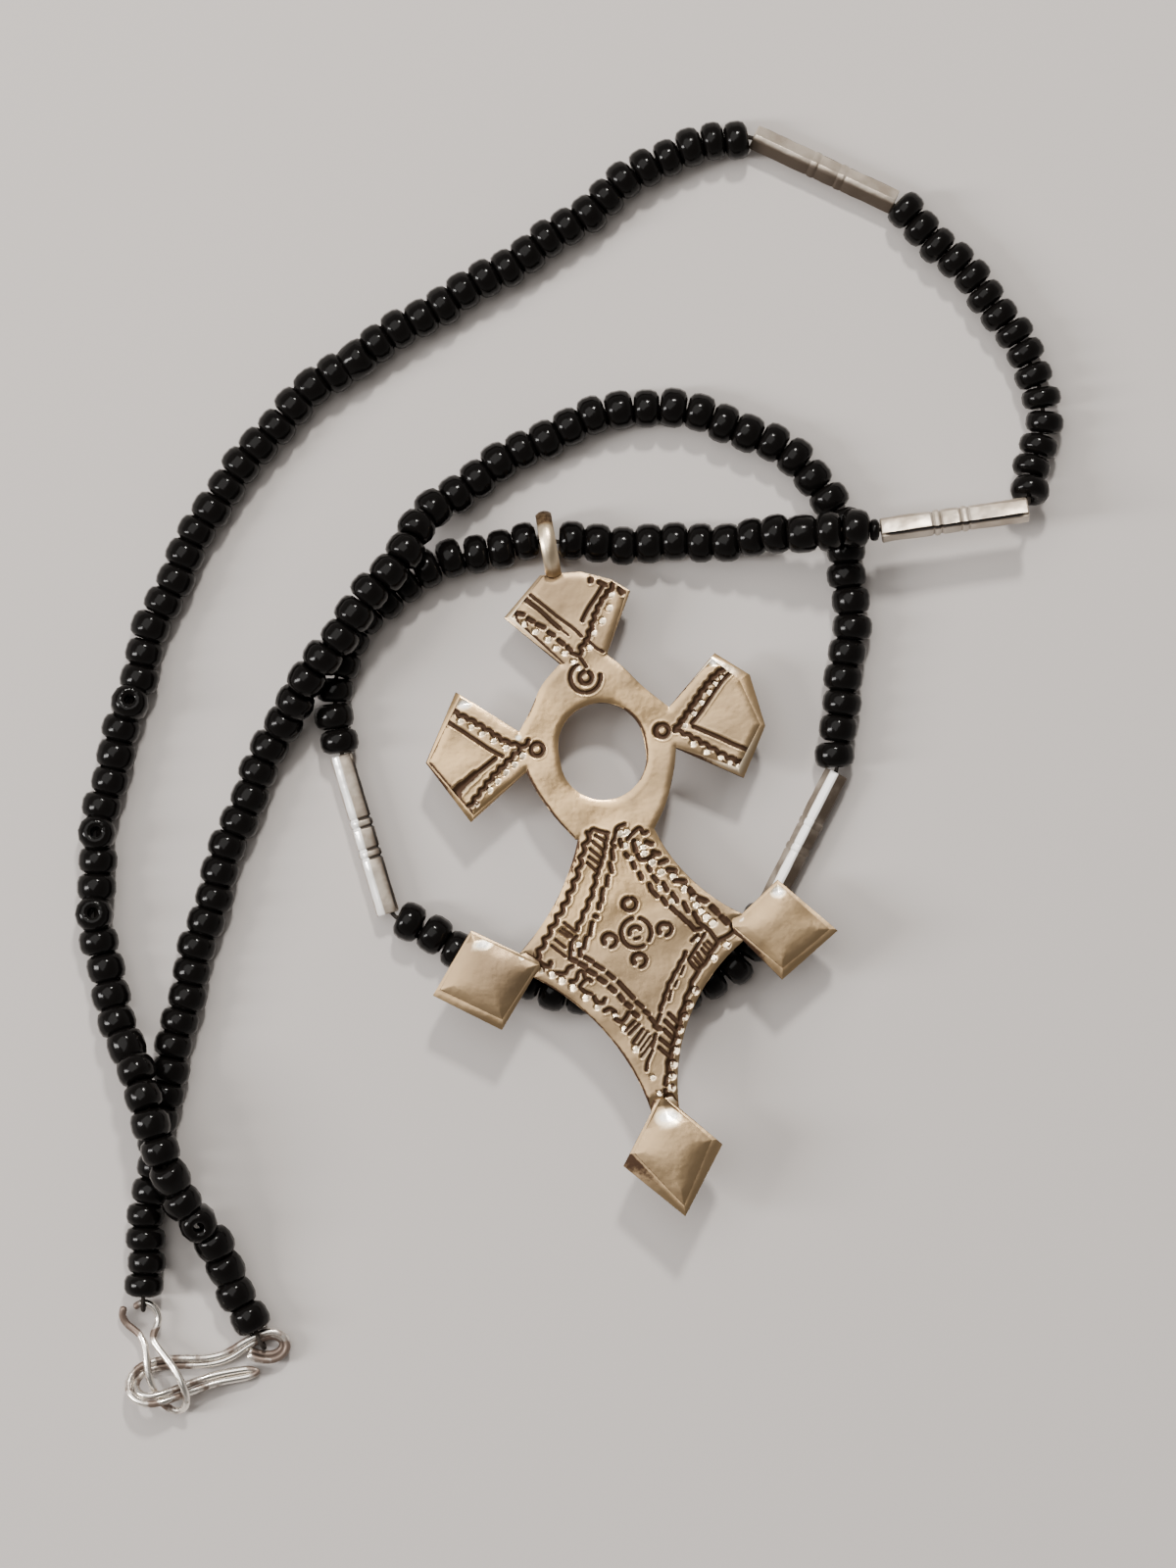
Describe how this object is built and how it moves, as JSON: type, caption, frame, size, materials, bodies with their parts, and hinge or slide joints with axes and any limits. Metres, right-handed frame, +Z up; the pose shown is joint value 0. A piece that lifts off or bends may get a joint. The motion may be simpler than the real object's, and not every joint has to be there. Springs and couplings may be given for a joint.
{
  "type": "tuareg cross pendant on a string of beads",
  "caption": "Engraved silver cross with flared arms and diamond points, on a string of black glass beads and silver tubes with a hook and eye; a necklace laid down in loose loops.",
  "frame": {"origin": "on the surface that it lies on, under the middle of the box round the whole string", "axes": "+Z up out of the surface, +Y from the clasp towards the far bend of the string, +X to the right as seen from above"},
  "size_m": [0.0933, 0.1222, 0.0078],
  "materials": {
    "engraved_silver": "worn silver, satin, with dark brown patina in the engraving",
    "rolled_silver": "bright rolled silver sheet with filed notches",
    "silver_wire": "bright drawn silver wire, tarnished in the bends",
    "black_glass": "opaque black glass, glossy",
    "dark_thread": "twisted dark cotton"
  },
  "bodies": {
    "root": {"cross": "engraved_silver", "thread": "dark_thread", "beads_hook_side": "black_glass", "beads_eye_side": "black_glass", "tube_bead_1": "rolled_silver", "tube_bead_2": "rolled_silver", "tube_bead_3": "rolled_silver", "tube_bead_4": "rolled_silver", "clasp_hook": "silver_wire", "clasp_eye": "silver_wire"}
  },
  "joints": []
}
